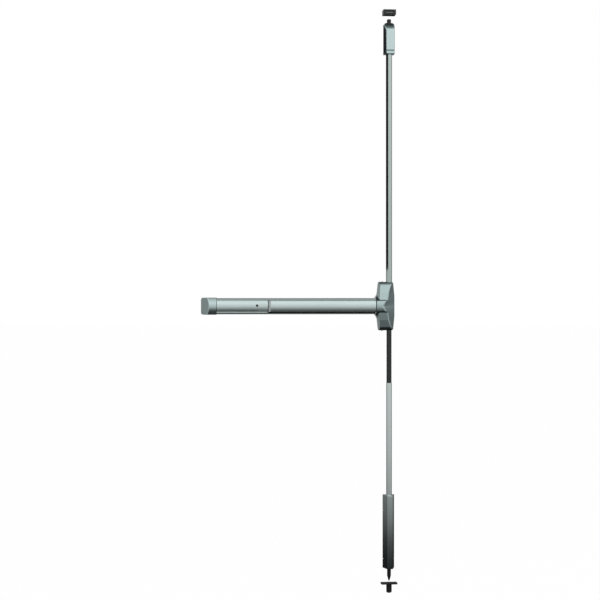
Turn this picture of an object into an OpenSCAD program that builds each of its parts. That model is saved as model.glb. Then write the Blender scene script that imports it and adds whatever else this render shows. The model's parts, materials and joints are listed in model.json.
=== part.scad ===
// Panic exit bar with surface vertical rods. Millimetres. X runs along the bar towards the centre case,
// Z is up, and the door's face is the plane Y = 0, with the device standing out towards -Y.
// The origin is on the door's face, level with the bar and in line with the two rods.
// A "depth" in this file is a distance out from the door's face.

/* [Bar] */
// Height of the rail that carries the bar
rail_h = 60; // [54:1:72]
// Depth of the rail's front lips
rail_depth = 46; // [44:1:60]
// Thickness of the rail's walls
rail_wall = 2.5; // [2:0.5:3]
// Height of the rail's upper front lip
lip_h = 8.5; // [8:0.5:9]
// Height of the rail's lower front lip
lower_lip_h = 5.5; // [5:0.5:6]
// Radius of the rail's outer corners
rail_r = 3.5; // [1:0.5:4]
// Depth of the air gap behind the rail
rail_gap = 5; // [4:0.5:5]
// Length of the push pad
pad_l = 402; // [360:1:700]
// Length of the fixed cover beside the pad
cover_l = 189; // [150:1:320]
// Depth of the pad's face at its edges
pad_depth = 60; // [60:0.5:64]
// Rise of the pad's crown above its edges
pad_crown = 5; // [3:0.5:6]
// Wall of the pad and of the cover
pad_wall = 2.2; // [1.6:0.2:2.4]
// How far the pad travels when it is pushed
pad_travel = 13; // [10:0.5:13]
// Length of the end cap
cap_l = 56; // [50:1:70]
// Length of the slope on the end cap
cap_slope = 27; // [20:1:35]

/* [Centre case] */
// Height of the centre case
case_h = 182; // [176:1:220]
// Width of the case to the left of the rods
case_left = 46.5; // [45:0.5:56]
// Width of the case to the right of the rods
case_right = 21.5; // [19:0.5:30]
// Wall of the cast covers
case_wall = 2.5; // [2:0.5:3]

/* [Rods] */
// Depth of the rods' centreline
rod_depth = 16; // [15.5:0.5:18]
// Diameter of the upper rod
upper_rod_d = 23; // [20:0.5:24]
// Diameter of the upper part of the lower rod
lower_rod_d = 19; // [16:0.5:19.5]
// Diameter of the sleeve over the lower rod
sleeve_d = 21.5; // [20.5:0.5:24]
// Wall of the rod tubes
tube_wall = 1.5; // [1.5:0.25:2]
// Height of the top latch above the bar's centreline
top_latch_z = 946; // [700:1:1300]
// Distance of the bottom latch below the bar's centreline
bottom_latch_z = 710; // [560:1:760]
// Distance of the sleeve's upper end below the bar's centreline
sleeve_z = 289; // [200:1:400]

/* [Latches] */
// Width of the top latch
top_w = 38.5; // [36:0.5:46]
// Height of the top latch
top_h = 119; // [110:1:150]
// Depth of both latches
latch_depth = 40; // [36:0.5:48]
// Width of the bottom latch at the door
bottom_w = 44; // [42:0.5:54]
// Width of the bottom latch's front face
bottom_front_w = 21; // [18:0.5:28]
// Height of the bottom latch
bottom_h = 276; // [240:1:320]
// Diameter of the top bolt
top_bolt_d = 15.5; // [12:0.5:16]
// How far the top bolt stands out of its latch
top_throw = 13.5; // [10:0.5:16]
// Diameter of the bottom bolt
bottom_bolt_d = 14.5; // [12:0.5:16]
// How far the bottom bolt stands out of its latch
bottom_throw = 46; // [36:1:60]

/* [Strikes] */
// Air between the top bolt and the top strike
top_strike_gap = 15; // [8:1:25]
// Width of the top strike
strike_w = 47; // [44:1:60]
// Height of the top strike
strike_h = 19.5; // [19:0.5:24]
// Air between the bottom bolt and the floor strike
floor_strike_gap = 8; // [4:1:20]
// Width of the floor strike's plate
floor_w = 60; // [56:1:80]
// Thickness of the floor strike's plate
floor_t = 5; // [4:0.5:8]
// Outer diameter of the floor strike's cup
cup_d = 20.5; // [20:0.5:26]
// Depth of the floor strike's cup below its plate
cup_h = 33; // [26:1:45]

/* [Hidden] */
$fn = 64;

// Fits
slip = 0.05;            // between a turning hub and its pin
pin_play = 0.15;        // between a pin and the slot that it drives
side_gap = 1;           // between parts that pass one another
seat_gap = 0.3;         // between a cover and what it slides over
fastener_gap = 0.1;     // between a screw's shank and its hole
hole_gap = 0.7;         // between a rod and the case wall it runs through

// Bar lengths, all counted from the rods at X = 0
rail_half = rail_h / 2;
neck_left = case_left + 7.5;
pad_right = -neck_left - 2.5;
pad_left = pad_right - pad_l;
cover_right = pad_left - 2.5;
cover_left = cover_right - cover_l;
cap_right = cover_left;
cap_left = cap_right - cap_l;
cap_half = rail_half + 1.7;
cap_base = 5;
cap_wall = 2.5;
rail_left = cap_right - 22;
rail_right = -case_left - 3.5;
web_front = rail_gap + rail_wall;
lip_inner = rail_half - lip_h;
lower_lip_inner = rail_half - lower_lip_h;

// End cap's screws and the bracket's ears and holes
cap_screw_x = cap_left + 15;
cap_screw_depth = 10;
cap_screw_r = 1.9;
cap_screw_head_r = 3.2;
ear_out = rail_half - seat_gap;
ear_in = ear_out - 2.5;
end_hole_x = cap_left + 14;
end_hole_z = 14;

// Pad section
pad_half = lip_inner - 1.2;
crown_depth = pad_depth + pad_crown;
crown_r = (pad_half * pad_half + pad_crown * pad_crown) / (2 * pad_crown);
foot_top = pad_half + 4.5;
foot_low = rail_half - rail_wall - 0.7;
foot_t = 2;
foot_front = rail_depth - rail_wall - 0.3;
cover_drop = 1.5;
end_block_l = 8;

// Cranks under the pad
crank_depth = 20;
crank_a = 22;
crank_b = 20;
crank_swing = asin(pad_travel / (2 * crank_a));
draw_travel = 2 * crank_b * sin(crank_swing);
crank_x = [pad_left + 60, pad_right - 74];
crank_t = 6;
crank_hub_r = 6;
crank_hub_half = 12.5;
crank_lug_r = 4.5;
pivot_r = 3;
drive_r = 2.5;
bracket_in = crank_hub_half + 0.5;
bracket_t = 2.5;
bracket_out = bracket_in + bracket_t;
bracket_half_l = 12;
leg_half_l = 8;
rivet_r = 1.8;
rivet_head_r = 2.8;
rivet_head_t = 1.2;
pad_leg_in = 9;
pad_leg_t = 2.5;
pad_leg_half_l = 7;
pad_plate_t = 2;

// Drawbar
draw_z0 = crank_t / 2 + 0.6;
draw_t = 4;
draw_z1 = draw_z0 + draw_t;
draw_pin_depth = crank_depth + crank_b * (1 + cos(crank_swing)) / 2;
draw_h = 8.5;
draw_d0 = draw_pin_depth - draw_h / 2;
draw_d1 = draw_pin_depth + draw_h / 2;

// Levers in the centre case
lever_c = 20;
lever_swing = asin(draw_travel / (2 * lever_c));
lever_x = -24;
lever_d = -lever_x;
lever_z = 30;
rod_travel = 2 * lever_d * sin(lever_swing);
lever_arm_r = 4.5;
lever_hub_r = 7;
lever_pin_r = 4;
tongue_t = 6;
lever_t = 4;
tongue_d0 = rod_depth - tongue_t / 2;
tongue_d1 = rod_depth + tongue_t / 2;
lever_d0 = tongue_d1 + side_gap;
lever_d1 = lever_d0 + lever_t;
carriage_d0 = lever_d1 + side_gap;
carriage_t = 4;
ear_t = 3;
carriage_d1 = carriage_d0 + carriage_t;
carriage_half = 16;
carriage_right = lever_x + 16;
guide_x = lever_x - 12;
guide_r = 3;
carriage_left = guide_x - guide_r - 5;
base_t = 3;

// Rods
upper_r = upper_rod_d / 2;
lower_r = lower_rod_d / 2;
sleeve_r = sleeve_d / 2;
rod_start = 66;
tongue_half_w = 8;
tongue_end = 7;
link_z = lever_z + lever_d * sin(lever_swing);
plug_l = 22;
tube_tail = 18;
nut_t = 8;
nut_r = 8;
stud_r = 4;
stud_l = 14;
shank_r = 5;
shelf_t = 3;
shank_gap = 0.5;
spring_wire_r = 0.9;
spring_r = shank_r + 1.7;
spring_sides = 6;
spring_steps = 14;

// Centre case
case_half = case_h / 2;
case_side = 24;
case_flank = 14;
case_end_depth = 38;
case_mid_depth = 54;
case_end_x = [-38.5, 6];
case_mid_x = [-41.5, -12];
case_mid_half = 20;
neck_half = rail_half + 3;
neck_front_half = pad_half + 2.5;
neck_depth = crown_depth + 1.5;
base_inset = 4;
base_tab_half = 24;
case_hole_x = [-33, -17];
case_hole_z = case_half - 17;
mount_hole_r = 3.2;
case_screw_x = -26;
case_screw_depth = 11;
lug_z1 = case_half - case_wall - seat_gap;
lug_z0 = lug_z1 - 5;

// Both latches
latch_wall = 2;
latch_screw_r = 1.5;
latch_screw_depth = 5.3;
latch_lug_depth = 7.6;
shelf_half = 10.5;
shelf_depth = 27;

// Top latch
top_half_w = top_w / 2;
top_base_half = top_half_w - latch_wall - seat_gap;
top_lug_zs = [top_latch_z + 62];
top_hole_zs = [top_latch_z + 28, top_latch_z + top_h - 16];
top_z0 = top_latch_z;
top_z1 = top_latch_z + top_h;
collar_h = 13;
groove_h = 2.5;
groove_t = 1.2;
latch_corner = 9;
top_shelf_z = top_z0 + 38;
top_shoulder_z = top_z1 - 25;
top_bolt_r = top_bolt_d / 2;
top_bolt_end = top_z1 + top_throw;

// Bottom latch
bottom_z1 = -bottom_latch_z;
bottom_z0 = bottom_z1 - bottom_h;
bottom_slope = (bottom_w - bottom_front_w) / 2 / latch_depth;
bottom_skin = latch_wall * sqrt(1 + bottom_slope * bottom_slope);
bottom_base_half = bottom_w / 2 - bottom_slope * base_t - bottom_skin - seat_gap;
bottom_lug_zs = [bottom_z1 - 60, bottom_z0 + 34];
bottom_hole_zs = [bottom_z1 - 36, bottom_z0 + 16];
bottom_shelf_z = bottom_z1 - 170;
bottom_shoulder_z = bottom_z0 + 46;
bottom_bolt_r = bottom_bolt_d / 2;
bottom_bolt_end = bottom_z0 - bottom_throw;
bolt_taper = 19;
bolt_tip_r = 2;

// Strikes
strike_z0 = top_bolt_end + top_strike_gap;
strike_z1 = strike_z0 + strike_h;
strike_depth = 36;
strike_wall = 4;
roller_r = 4;
roller_l = 26;
roller_depth = strike_depth - 5;
roller_z = strike_z0 + 8.5;
axle_r = 2;
floor_top = bottom_bolt_end - floor_strike_gap;
floor_back = 0.5;
floor_front = 2 * rod_depth - floor_back;
cup_wall = 2;
cup_r = cup_d / 2;

// Dogging
dog_x = cover_right - 40;
dog_z = 2;
dog_hole_r = 4.5;
dog_shaft_r = 3.5;
dog_head_r = 4.2;
dog_peg_r = 2.2;
dog_turn = 75;
tab_t = 5;
tab_x = dog_x + 19.6;
tab_z = -8;
dog_peg_x = tab_x - draw_travel + tab_t + dog_peg_r + 0.3;
dog_peg_z = -4;
dog_reach = norm([dog_peg_x - dog_x, dog_peg_z - dog_z]);
dog_angle = atan2(dog_peg_z - dog_z, dog_peg_x - dog_x) - dog_turn;

// Colours
satin = [0.72, 0.76, 0.76];
cast = [0.52, 0.57, 0.56];
steel = [0.62, 0.64, 0.65];
black = [0.08, 0.08, 0.09];
spring_steel = [0.45, 0.46, 0.48];

// ---------- helpers ----------

// Extrudes an X-Z outline out from the door, between two depths
module outward(d0, d1) {
    translate([0, -d0, 0]) rotate([90, 0, 0]) linear_extrude(d1 - d0) children();
}

// Extrudes a Y-Z outline along X
module sideways(x0, x1) {
    translate([x0, 0, 0]) rotate([90, 0, 90]) linear_extrude(x1 - x0) children();
}

// Extrudes an X-Y outline along Z
module upward(z0, z1) {
    translate([0, 0, z0]) linear_extrude(z1 - z0) children();
}

// A box between two X values, two depths and two heights
module block(x0, x1, d0, d1, z0, z1) {
    translate([x0, -d1, z0]) cube([x1 - x0, d1 - d0, z1 - z0]);
}

// Cylinders along X, Y and Z
module bar_x(d, z, r, x0, x1) {
    translate([x0, -d, z]) rotate([0, 90, 0]) cylinder(r = r, h = x1 - x0);
}
module bar_y(x, z, r, d0, d1) {
    translate([x, -d0, z]) rotate([90, 0, 0]) cylinder(r = r, h = d1 - d0);
}
module bar_z(x, d, r, z0, z1) {
    translate([x, -d, z0]) cylinder(r = r, h = z1 - z0);
}

// A round-ended slot, centred, with its straight part along the first axis
module slot(r, straight) {
    square([straight, 2 * r], center = true);
    for (side = [-1, 1]) translate([side * straight / 2, 0]) circle(r);
}

// A rectangle between two corners with round corners
module round_rect(a0, a1, b0, b1, r) {
    translate([a0 + r, b0]) square([a1 - a0 - 2 * r, b1 - b0]);
    translate([a0, b0 + r]) square([a1 - a0, b1 - b0 - 2 * r]);
    for (a = [a0 + r, a1 - r], b = [b0 + r, b1 - r]) translate([a, b]) circle(r);
}

// Crowned solid of the pad's section, in Y-Z, taken in by an inset
module crowned(rise, inset) {
    intersection() {
        translate([-(crown_depth - rise) + inset, -pad_half + inset])
            square([crown_depth - rise - inset, 2 * (pad_half - inset)]);
        translate([-(crown_depth - rise) + crown_r, 0]) circle(crown_r - inset);
    }
}

// Shell of the pad or cover in Y-Z, open at the back, with feet behind the rail's lips
module crowned_shell(rise, foot_depth) {
    difference() {
        union() {
            crowned(rise, 0);
            translate([-foot_depth, -foot_low]) square([foot_t, foot_low + foot_top]);
        }
        crowned(rise, pad_wall);
        translate([-foot_depth + foot_t, -rail_half]) square([foot_depth, rail_h]);
    }
}

// A coil spring along Z with flat-cut ends, as one swept tube
module coil(r, wire, z0, z1, turns) {
    rings = ceil(turns * spring_steps);
    pts = [for (i = [0:rings], j = [0:spring_sides - 1])
        let (a = 360 * turns * i / rings,
             b = 360 * j / spring_sides,
             reach = r + wire * cos(b))
        [reach * cos(a), reach * sin(a), z0 + wire + (z1 - z0 - 2 * wire) * i / rings + wire * sin(b)]];
    sides = [for (i = [0:rings - 1], j = [0:spring_sides - 1])
        let (k = (j + 1) % spring_sides,
             low = i * spring_sides,
             high = low + spring_sides)
        [low + j, high + j, high + k, low + k]];
    first = [for (j = [0:spring_sides - 1]) j];
    last = [for (j = [spring_sides - 1:-1:0]) rings * spring_sides + j];
    polyhedron(points = pts, faces = concat([first], sides, [last]), convexity = 8);
}

// ---------- rail and its ends ----------

module rail() {
    color(satin) difference() {
        sideways(rail_left, rail_right) difference() {
            round_rect(-rail_depth, -rail_gap, -rail_half, rail_half, rail_r);
            translate([-rail_depth + rail_wall, -rail_half + rail_wall])
                square([rail_depth - rail_gap - 2 * rail_wall, rail_h - 2 * rail_wall]);
            translate([-rail_depth - 1, -lower_lip_inner]) square([rail_wall + 2, lip_inner + lower_lip_inner]);
        }
        for (s = rail_screw_spots()) bar_y(s[0], s[1], rivet_r + fastener_gap, rail_gap - 1, web_front + 1);
        for (s = rivet_spots()) bar_y(s[0], s[1], rivet_r + fastener_gap, rail_gap - 1, web_front + 1);
    }
}

// Places of the screws that hold the rail, and of the rivets through its web
function rail_screw_spots() = [for (z = [-16, 16]) [rail_left + 10, z]];
function crank_rivet_spots() = [for (x = crank_x, side = [-1, 1]) [x + side * 8.5, side * 9]];
function dogging_rivet_spots() = [for (side = [-1, 1]) [dog_x + side * 14, dog_z + side * 8]];
function rivet_spots() = concat(crank_rivet_spots(), dogging_rivet_spots());

// Solid form of the end cap, taken in by a wall
module cap_form(inset) {
    skin = inset > 0 ? cap_half - rail_half - seat_gap : 0;
    front = crown_depth - cover_drop - 3;
    intersection() {
        upward(-cap_half + skin, cap_half - skin) polygon([
            [cap_left + inset, inset > 0 ? 1 : 0],
            [cap_left + inset, -cap_base],
            [cap_left + cap_slope, -front + inset],
            [cap_right + (inset > 0 ? 1 : 0), -front + inset],
            [cap_right + (inset > 0 ? 1 : 0), inset > 0 ? 1 : 0]
        ]);
        outward(-2, crown_depth + 2)
            round_rect(cap_left + inset, cap_right + 12, -cap_half + skin, cap_half - skin, 8 - inset);
        sideways(cap_left - 1, cap_right + 2) polygon([
            [2, -cap_half + skin],
            [2, cap_half - skin],
            [-rail_depth + (inset > 0 ? -seat_gap : 0), cap_half - skin],
            [-front + inset, pad_half + 0.8],
            [-front + inset, -pad_half - 0.8],
            [-rail_depth + (inset > 0 ? -seat_gap : 0), -cap_half + skin]
        ]);
    }
}

module end_cap() {
    color(cast) difference() {
        cap_form(0);
        cap_form(cap_wall);
        bar_z(cap_screw_x, cap_screw_depth, cap_screw_head_r + fastener_gap, -cap_half - 1, cap_half + 1);
    }
}

module end_bracket() {
    color(steel) difference() {
        union() {
            block(cap_left + 6, rail_left + 20, 0, rail_gap, -ear_in, ear_in);
            for (side = [0, 1]) mirror([0, 0, side])
                block(cap_screw_x - 7, cap_screw_x + 7, 0, cap_screw_depth + 7, ear_in, ear_out);
        }
        bar_z(cap_screw_x, cap_screw_depth, cap_screw_r + fastener_gap, -rail_half, rail_half);
        for (side = [-1, 1]) bar_y(end_hole_x, side * end_hole_z, mount_hole_r, -1, rail_gap + 1);
        for (s = rail_screw_spots()) bar_y(s[0], s[1], rivet_r + fastener_gap, -1, rail_gap + 1);
    }
}

// A flat-head screw along Z in the cap's skirt, one at the top and one at the bottom
module end_cap_screws() {
    color(steel) for (side = [0, 1]) mirror([0, 0, side]) difference() {
        union() {
            bar_z(cap_screw_x, cap_screw_depth, cap_screw_head_r, rail_half + seat_gap, cap_half);
            bar_z(cap_screw_x, cap_screw_depth, cap_screw_r, ear_in - 2, rail_half + seat_gap);
        }
        translate([cap_screw_x, -cap_screw_depth, cap_half - 0.9]) cylinder(r = 1.6, h = 2, $fn = 6);
    }
}

// Pan-head screws through the rail's web into the end bracket
module rail_screws() {
    color(steel) for (s = rail_screw_spots()) difference() {
        union() {
            bar_y(s[0], s[1], rivet_r, 0.5, web_front);
            bar_y(s[0], s[1], 3.4, web_front, web_front + 2.4);
        }
        translate([s[0], -web_front - 1, s[1]]) rotate([90, 0, 0]) cylinder(r = 1.5, h = 3, $fn = 6);
    }
}

// Fixed cover beside the pad, with the dogging hole and a bare shallow recess
module rail_cover() {
    recess_x0 = dog_x + 5;
    color(satin) difference() {
        sideways(cover_left, cover_right) {
            crowned_shell(cover_drop, rail_depth - rail_wall);
            translate([-rail_depth, -lower_lip_inner + seat_gap])
                square([rail_wall + 0.5, lower_lip_inner - seat_gap - pad_half + 0.5]);
        }
        bar_y(dog_x, dog_z, dog_hole_r, pad_depth - 12, crown_depth + 1);
        sideways(recess_x0, cover_right - 5) difference() {
            translate([-crown_depth - 1, -15]) square([12, 23]);
            translate([-(crown_depth - cover_drop) + crown_r, 0]) circle(crown_r - 0.4);
        }
    }
}

// ---------- push pad and what it drives ----------

module touchpad() {
    color(satin) sideways(pad_left + end_block_l, pad_right) crowned_shell(0, foot_front);
}

// Moulded block that closes the pad's free end
module pad_end_block() {
    color([0.6, 0.64, 0.64]) {
        sideways(pad_left, pad_left + end_block_l) difference() {
            crowned(0, 0);
            translate([-foot_front + foot_t, -pad_half - 1]) square([foot_front, 2 * pad_half + 2]);
            translate([-draw_d1 - pad_travel - 2, -pad_half + 5]) square([crown_depth, 2 * pad_half - 10]);
        }
        sideways(pad_left + end_block_l, pad_left + end_block_l + 9) difference() {
            crowned(0, pad_wall + slip);
            crowned(0, pad_wall + 2);
            translate([-foot_front + foot_t, -pad_half - 1]) square([foot_front, 2 * pad_half + 2]);
        }
    }
}

// Depth of the drive pin in the pad bracket when the pad is out
pad_pin_depth = crank_depth + crank_a * sin(crank_swing);
pad_pin_x = -crank_a * (1 + cos(crank_swing)) / 2;
pad_plate_top = crown_depth - pad_wall - (crown_r - sqrt(crown_r * crown_r - pow(pad_leg_in + pad_leg_t, 2))) - 0.1;

// The two channel brackets under the pad, each with a slot for a crank's pin
module pad_brackets() {
    color(steel) for (x = crank_x) translate([x + pad_pin_x, 0, 0]) difference() {
        union() {
            block(-pad_leg_half_l, pad_leg_half_l, pad_plate_top - pad_plate_t, pad_plate_top,
                -pad_leg_in - pad_leg_t, pad_leg_in + pad_leg_t);
            for (side = [0, 1]) mirror([0, 0, side])
                block(-pad_leg_half_l, pad_leg_half_l, pad_pin_depth - 4.5, pad_plate_top,
                    pad_leg_in, pad_leg_in + pad_leg_t);
        }
        translate([0, -pad_pin_depth, -pad_leg_in - pad_leg_t - 1])
            linear_extrude(2 * (pad_leg_in + pad_leg_t + 1)) slot(drive_r + pin_play, 2);
    }
}

// One bell crank: an arm to the pad, an arm to the drawbar, and a long hub
module crank(x) {
    color(steel) translate([x, -crank_depth, 0]) rotate([0, 0, crank_swing]) difference() {
        union() {
            translate([0, 0, -crank_t / 2]) linear_extrude(crank_t) {
                translate([-crank_a, -crank_lug_r]) square([crank_a, 2 * crank_lug_r]);
                translate([-crank_a, 0]) circle(crank_lug_r);
                translate([-crank_lug_r, -crank_b]) square([2 * crank_lug_r, crank_b]);
                translate([0, -crank_b]) circle(crank_lug_r);
            }
            translate([0, 0, -crank_hub_half]) cylinder(r = crank_hub_r, h = 2 * crank_hub_half);
        }
        translate([0, 0, -crank_hub_half - 1]) cylinder(r = pivot_r + slip, h = 2 * crank_hub_half + 2);
        translate([-crank_a, 0, -crank_t]) cylinder(r = drive_r + slip, h = 2 * crank_t);
        translate([0, -crank_b, -crank_t]) cylinder(r = drive_r + slip, h = 2 * crank_t);
    }
}

// The two pins of one crank
module crank_pins(x) {
    long = pad_leg_in + pad_leg_t + 1;
    color(spring_steel) translate([x, -crank_depth, 0]) rotate([0, 0, crank_swing]) {
        translate([-crank_a, 0, -long]) cylinder(r = drive_r, h = 2 * long);
        translate([0, -crank_b, -crank_t / 2]) cylinder(r = drive_r, h = draw_z1 + crank_t / 2 + 0.3);
        translate([0, -crank_b, draw_z1 + 0.3]) cylinder(r = crank_lug_r - 0.5, h = 1.2);
    }
}

// Coil of the return spring round a crank's hub, above its plate
module crank_spring(x) {
    color(spring_steel) translate([x, -crank_depth, 0])
        coil(crank_hub_r + 0.3 + 0.8, 0.8, -crank_hub_half + 0.4, -crank_t / 2 - 0.3, 4.5);
}

module left_crank() { crank(crank_x[0]); }
module right_crank() { crank(crank_x[1]); }
module left_crank_pins() { crank_pins(crank_x[0]); }
module right_crank_pins() { crank_pins(crank_x[1]); }
module left_crank_spring() { crank_spring(crank_x[0]); }
module right_crank_spring() { crank_spring(crank_x[1]); }

// Channel brackets on the rail's web that carry the cranks
module crank_brackets() {
    color(steel) for (x = crank_x) difference() {
        union() {
            block(x - bracket_half_l, x + bracket_half_l, web_front, web_front + bracket_t,
                -bracket_out, bracket_out);
            for (side = [0, 1]) mirror([0, 0, side])
                block(x - leg_half_l, x + leg_half_l, web_front, crank_depth + 6, bracket_in, bracket_out);
        }
        bar_z(x, crank_depth, pivot_r + slip, -bracket_out - 1, bracket_out + 1);
        for (s = crank_rivet_spots()) bar_y(s[0], s[1], rivet_r + fastener_gap, 0, crank_depth);
    }
}

module crank_pivots() {
    color(spring_steel) for (x = crank_x) {
        bar_z(x, crank_depth, pivot_r, -bracket_out - 0.8, bracket_out + 0.2);
        bar_z(x, crank_depth, pivot_r + 1.5, bracket_out + 0.2, bracket_out + 1.7);
    }
}

// A rivet from the back of the rail's web to a head on a bracket
module web_rivet(s, plate_t) {
    bar_y(s[0], s[1], rivet_r, rail_gap - 0.8, web_front + plate_t);
    bar_y(s[0], s[1], rivet_head_r, web_front + plate_t, web_front + plate_t + rivet_head_t);
}

module crank_rivets() {
    color(steel) for (s = crank_rivet_spots()) web_rivet(s, bracket_t);
}

// ---------- drawbar and carriage ----------

draw_right = lever_x + 12;
rivet_x = [lever_x, lever_x + 8];

// Flat bar from the cranks to the carriage, with a tab for the dogging cam
module drawbar() {
    color(steel) difference() {
        union() {
            block(tab_x, draw_right, draw_d0, draw_d1, draw_z0, draw_z1);
            block(tab_x, tab_x + tab_t, draw_d0, draw_d1, tab_z, draw_z0);
        }
        for (x = crank_x) translate([x + crank_b * sin(crank_swing), -draw_pin_depth, 0])
            linear_extrude(3 * draw_z1) rotate(90) slot(drive_r + pin_play, 1.4);
        for (x = rivet_x) bar_z(x, draw_pin_depth, rivet_r + fastener_gap, 0, 3 * draw_z1);
    }
}

// Plate that turns the levers, with an ear that is riveted to the drawbar
module carriage() {
    c_x = lever_x + lever_c * sin(lever_swing);
    c_z = lever_z - lever_c * (1 + cos(lever_swing)) / 2;
    color(steel) difference() {
        union() {
            difference() {
                block(carriage_left, carriage_right, carriage_d0, carriage_d1, -carriage_half, carriage_half);
                for (side = [-1, 1]) outward(carriage_d0 - 1, carriage_d1 + 1)
                    translate([c_x, side * c_z]) rotate(90) slot(drive_r + pin_play, 2);
                outward(carriage_d0 - 1, carriage_d1 + 1)
                    translate([guide_x + draw_travel / 2, 0]) slot(guide_r + pin_play, draw_travel + 0.4);
            }
            block(lever_x - 4, draw_right, carriage_d1 - 1, draw_d1, draw_z1, draw_z1 + ear_t);
        }
        for (x = rivet_x) bar_z(x, draw_pin_depth, rivet_r + fastener_gap, 0, 3 * draw_z1);
    }
}

module carriage_rivets() {
    color(steel) for (x = rivet_x) {
        bar_z(x, draw_pin_depth, rivet_r, draw_z0, draw_z1 + ear_t);
        bar_z(x, draw_pin_depth, rivet_head_r, draw_z0 - rivet_head_t, draw_z0);
        bar_z(x, draw_pin_depth, rivet_head_r, draw_z1 + ear_t, draw_z1 + ear_t + rivet_head_t);
    }
}

// ---------- dogging ----------

boss_r = 7;
boss_top = 24;
cam_d0 = boss_top + 4;
cam_d1 = draw_d0 - 1.3;
dog_head_d0 = draw_d1 + 4;
dog_head_d1 = crown_depth - cover_drop - pad_wall - 4;

module dogging_bracket() {
    color(steel) difference() {
        union() {
            block(dog_x - 20, dog_x + 20, web_front, web_front + bracket_t, dog_z - 14, dog_z + 14);
            bar_y(dog_x, dog_z, boss_r, web_front + bracket_t, boss_top);
        }
        bar_y(dog_x, dog_z, dog_shaft_r + slip, web_front + bracket_t + 1, boss_top + 1);
        for (s = dogging_rivet_spots()) bar_y(s[0], s[1], rivet_r + fastener_gap, 0, boss_top);
    }
}

module dogging_bracket_rivets() {
    color(steel) for (s = dogging_rivet_spots()) web_rivet(s, bracket_t);
}

// Hex-key screw that is turned through the hole in the cover
module dogging_screw() {
    color(black) difference() {
        union() {
            bar_y(dog_x, dog_z, dog_shaft_r, web_front + bracket_t + 1.2, dog_head_d0);
            bar_y(dog_x, dog_z, dog_head_r, dog_head_d0, dog_head_d1);
        }
        translate([dog_x, -dog_head_d1 + 5, dog_z]) rotate([90, 0, 0]) cylinder(r = 2.4, h = 6, $fn = 6);
    }
}

// Arm on the dogging screw, with the peg that drops behind the drawbar's tab
module dogging_cam() {
    color(steel) translate([dog_x, 0, dog_z]) rotate([0, -dog_angle, 0]) difference() {
        union() {
            bar_y(0, 0, boss_r - 0.5, cam_d0, cam_d1);
            outward(cam_d1 - 3, cam_d1) {
                translate([0, -3.5]) square([dog_reach, 7]);
                translate([dog_reach, 0]) circle(3.5);
            }
            bar_y(dog_reach, 0, dog_peg_r, cam_d1 - 1, draw_d1 - 1.5);
        }
        bar_y(0, 0, dog_shaft_r + 0.02, cam_d0 - 1, cam_d1 + 1);
    }
}

// ---------- centre case ----------

// Outline of the case on the door, taken in by an inset
module case_outline(inset) {
    left = -case_left + inset;
    right = case_right - inset;
    top = case_half - inset;
    polygon([
        [left, 34], [left + 5.5, top - 7], [left + 8, top], [right - 8, top], [right - 4.5, top - 6], [right, 40],
        [right, -36], [right - 4.5, -top + 6], [right - 9, -top], [left + 12, -top], [left + 8, -top + 7],
        [left, -30]
    ]);
}

// Solid form of the case cover, taken in by an inset: a long faceted body and the neck over the rail
module case_form(inset) {
    back = inset > 0 ? -1 : 0;
    open_end = inset > 0 ? 1 : 0;
    hull() {
        outward(back, case_flank - inset * 0.4) case_outline(inset);
        outward(back, case_side - inset * 0.4) intersection() {
            case_outline(inset);
            translate([-case_left, -case_half]) square([case_left, case_h]);
        }
        block(case_end_x[0] + inset, case_end_x[1] - inset, case_flank, case_end_depth - inset,
            -case_half + 8 + inset, case_half - 8 - inset);
        block(case_mid_x[0] + inset, case_mid_x[1] - inset, case_flank, case_mid_depth - inset,
            -case_mid_half, case_mid_half);
    }
    hull() {
        block(-neck_left - open_end, inset > 0 ? -case_left + inset + 1 : -neck_left + 8,
            inset > 0 ? -1 : rail_gap - 1, rail_depth + 4 - inset, -neck_half + inset, neck_half - inset);
        block(-neck_left - open_end, -neck_left + 26 - inset, case_side, neck_depth - inset,
            -neck_front_half + inset, neck_front_half - inset);
        block(-neck_left + 26, -14 - inset, case_side, rail_depth - 2 - inset,
            -neck_half + 6 + inset, neck_half - 6 - inset);
    }
}

module case_cover() {
    color(cast) difference() {
        case_form(0);
        case_form(case_wall);
        bar_z(0, rod_depth, upper_r + hole_gap, 0, case_half + 1);
        bar_z(0, rod_depth, lower_r + hole_gap, -case_half - 1, 0);
        for (side = [0, 1]) mirror([0, 0, side])
            bar_z(case_screw_x, case_screw_depth, cap_screw_r + fastener_gap, case_half - 10, case_half + 1);
    }
}

module case_base() {
    color(steel) difference() {
        union() {
            outward(0, base_t) intersection() {
                case_outline(case_wall + seat_gap);
                translate([-case_left, -case_half + base_inset]) square([case_left + case_right, case_h - 2 * base_inset]);
            }
            block(-neck_left + 1, -case_left + 6, 0, base_t, -base_tab_half, base_tab_half);
            for (side = [0, 1]) mirror([0, 0, side])
                block(case_screw_x - 6, case_screw_x + 6, base_t - 1, case_screw_depth + 6, lug_z0, lug_z1);
        }
        for (x = case_hole_x, side = [-1, 1]) bar_y(x, side * case_hole_z, mount_hole_r, -1, base_t + 1);
        for (side = [0, 1]) mirror([0, 0, side])
            bar_z(case_screw_x, case_screw_depth, cap_screw_r + fastener_gap, lug_z0 - 1, lug_z1 + 1);
        for (side = [-1, 1]) bar_y(lever_x, side * lever_z, lever_pin_r + fastener_gap, -1, base_t + 1);
        bar_y(guide_x, 0, guide_r + fastener_gap, -1, base_t + 1);
    }
}

module case_cover_screws() {
    color(steel) for (side = [0, 1]) mirror([0, 0, side]) difference() {
        union() {
            bar_z(case_screw_x, case_screw_depth, cap_screw_r, lug_z0 - 2, case_half);
            bar_z(case_screw_x, case_screw_depth, 3.2, case_half, case_half + 1.8);
        }
        translate([case_screw_x, -case_screw_depth, case_half + 0.8]) cylinder(r = 1.6, h = 2, $fn = 6);
    }
}

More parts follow.
